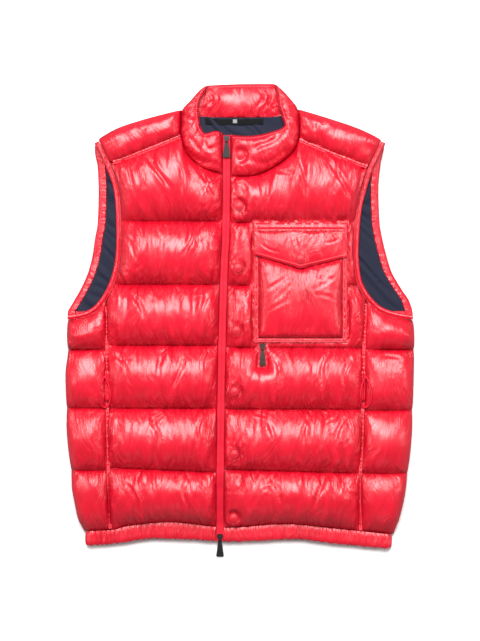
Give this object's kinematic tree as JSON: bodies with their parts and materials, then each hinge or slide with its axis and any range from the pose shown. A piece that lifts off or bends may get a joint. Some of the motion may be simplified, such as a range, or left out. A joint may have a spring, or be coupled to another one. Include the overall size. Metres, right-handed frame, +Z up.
{
  "type": "down puffer vest laid flat",
  "caption": "Quilted down vest with stand collar, zipped front, snap placket, flap chest pocket and gathered hem, laid flat face up.",
  "frame": {"origin": "on the surface that the vest lies on, under the middle of its bounding box", "axes": "+X to the wearer's left (the viewer's right), +Y up the garment towards its collar, +Z up from the surface"},
  "size_m": [0.5418, 0.7368, 0.0541],
  "materials": {
    "shell": "glossy laqué nylon, down filled, finely wrinkled along its seams",
    "lining": "matte navy woven lining",
    "tape": "black woven tape",
    "label": "blank light woven label",
    "zip_tape": "matte red woven tape and cord",
    "hardware": "black lacquered zip slider",
    "pull": "dark grey moulded pull tab",
    "pocket_metal": "dark bronze metal",
    "snap": "red cloth-covered snap cap"
  },
  "bodies": {
    "vest": {"front_right": "shell", "front_left": "shell", "yoke_right": "shell", "yoke_left": "shell", "side_panel_right": "shell", "side_panel_left": "shell", "back": "shell", "collar_right": "shell", "collar_left": "shell", "collar_back": "shell", "hem_band_right": "shell", "hem_band_left": "shell", "armhole_binding_right": "shell", "armhole_binding_left": "shell", "armhole_facing_right": "shell", "armhole_facing_left": "shell", "lining_armhole_right": "lining", "lining_armhole_left": "lining", "lining_neck": "lining", "hanging_tape": "tape", "size_label": "label", "zip_band": "zip_tape", "zip_slider_top": "hardware", "zip_slider_bottom": "hardware", "pocket_frame": "shell", "pocket_bag": "shell", "pocket_flap": "shell", "pocket_slider": "pocket_metal", "hand_pocket_welt_right": "shell", "hand_pocket_welt_left": "shell", "cord_loop_right": "zip_tape", "cord_loop_left": "zip_tape", "snap_1": "snap", "snap_2": "snap", "snap_3": "snap", "snap_4": "snap", "snap_5": "snap", "snap_6": "snap", "snap_7": "snap", "snap_flap": "snap"},
    "top_pull": {"zip_pull_top": "pull"},
    "bottom_pull": {"zip_pull_bottom": "pull"},
    "chest_pull": {"pocket_pull": "pocket_metal"}
  },
  "joints": [
    {"name": "top_pull_swing", "type": "hinge", "parent": "vest", "child": "top_pull", "pos_m": [-0.0208, 0.2795, 0.033], "axis": [-1, 0, 0], "range_deg": [0, 150]},
    {"name": "bottom_pull_swing", "type": "hinge", "parent": "vest", "child": "bottom_pull", "pos_m": [-0.0312, -0.339, 0.01616], "axis": [-1, 0, 0], "range_deg": [0, 150]},
    {"name": "chest_pull_swing", "type": "hinge", "parent": "vest", "child": "chest_pull", "pos_m": [0.0349, -0.0425, 0.0402], "axis": [-1, 0, 0], "range_deg": [0, 120]}
  ]
}
